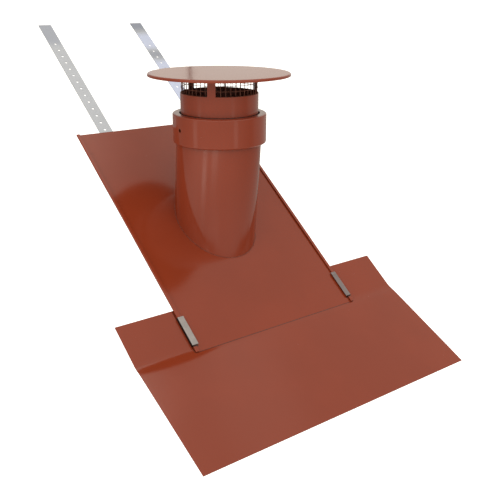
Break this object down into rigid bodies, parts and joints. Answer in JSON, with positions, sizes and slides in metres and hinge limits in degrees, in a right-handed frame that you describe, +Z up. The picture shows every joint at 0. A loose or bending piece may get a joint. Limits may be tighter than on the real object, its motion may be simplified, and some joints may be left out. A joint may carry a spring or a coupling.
{
  "type": "roof vent outlet",
  "caption": "Painted metal vent outlet for a sloping tiled roof: a base plate with a short duct tube, a collar, a capped head with a wire net, an apron sheet, edge clips and fixing straps.",
  "frame": {"origin": "on the roof side of the apron's flat upper part, on the kit's middle line and half way up that flat part, where the roof carries the kit", "axes": "+Z up with the kit as built into a 35 degree roof, +Y up the slope as seen in plan, +X across the roof to the right seen from the eaves"},
  "size_m": [0.611, 0.9346, 0.6078],
  "materials": {
    "painted_sheet": "semi-gloss terracotta coating on steel sheet",
    "galvanised_strip": "dull hot-dip galvanised strip with a soft sheen",
    "net_wire": "galvanised welded wire"
  },
  "bodies": {
    "root": {"base_plate": "painted_sheet", "sleeve_tube": "painted_sheet", "rain_collar": "painted_sheet", "head_pipe": "painted_sheet", "cap_disc": "painted_sheet", "apron_sheet": "painted_sheet", "bird_net": "net_wire", "strap_left": "galvanised_strip", "strap_right": "galvanised_strip", "clip_left": "galvanised_strip", "clip_right": "galvanised_strip"}
  },
  "joints": []
}
